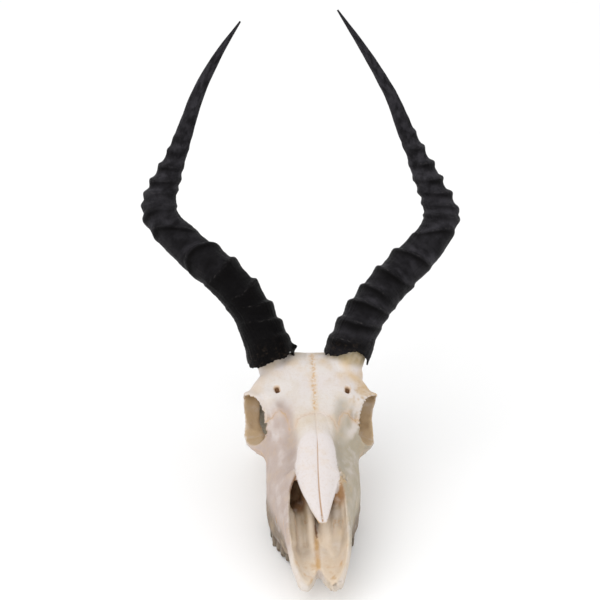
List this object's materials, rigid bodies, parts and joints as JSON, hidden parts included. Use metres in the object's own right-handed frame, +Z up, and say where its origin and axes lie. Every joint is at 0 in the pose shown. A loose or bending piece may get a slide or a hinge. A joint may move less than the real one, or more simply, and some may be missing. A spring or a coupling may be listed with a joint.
{
  "type": "impala skull",
  "caption": "Bleached skull of a male impala without its lower jaw, with two ringed black horn sheaths on bony cores and upper cheek teeth.",
  "frame": {"origin": "middle of the bounding box, on the surface that the teeth stand on", "axes": "+Z up, -Y the way the muzzle points, +X towards the animal's left side"},
  "size_m": [0.2876, 0.3642, 0.3933],
  "materials": {
    "bone": "matte",
    "horn": "satin",
    "tooth": "satin"
  },
  "bodies": {
    "root": {"cranium": "bone", "horn_sheath_left": "horn", "horn_sheath_right": "horn", "premolar_2_left": "tooth", "premolar_2_right": "tooth", "premolar_3_left": "tooth", "premolar_3_right": "tooth", "premolar_4_left": "tooth", "premolar_4_right": "tooth", "molar_1_left": "tooth", "molar_1_right": "tooth", "molar_2_left": "tooth", "molar_2_right": "tooth", "molar_3_left": "tooth", "molar_3_right": "tooth"}
  },
  "joints": []
}
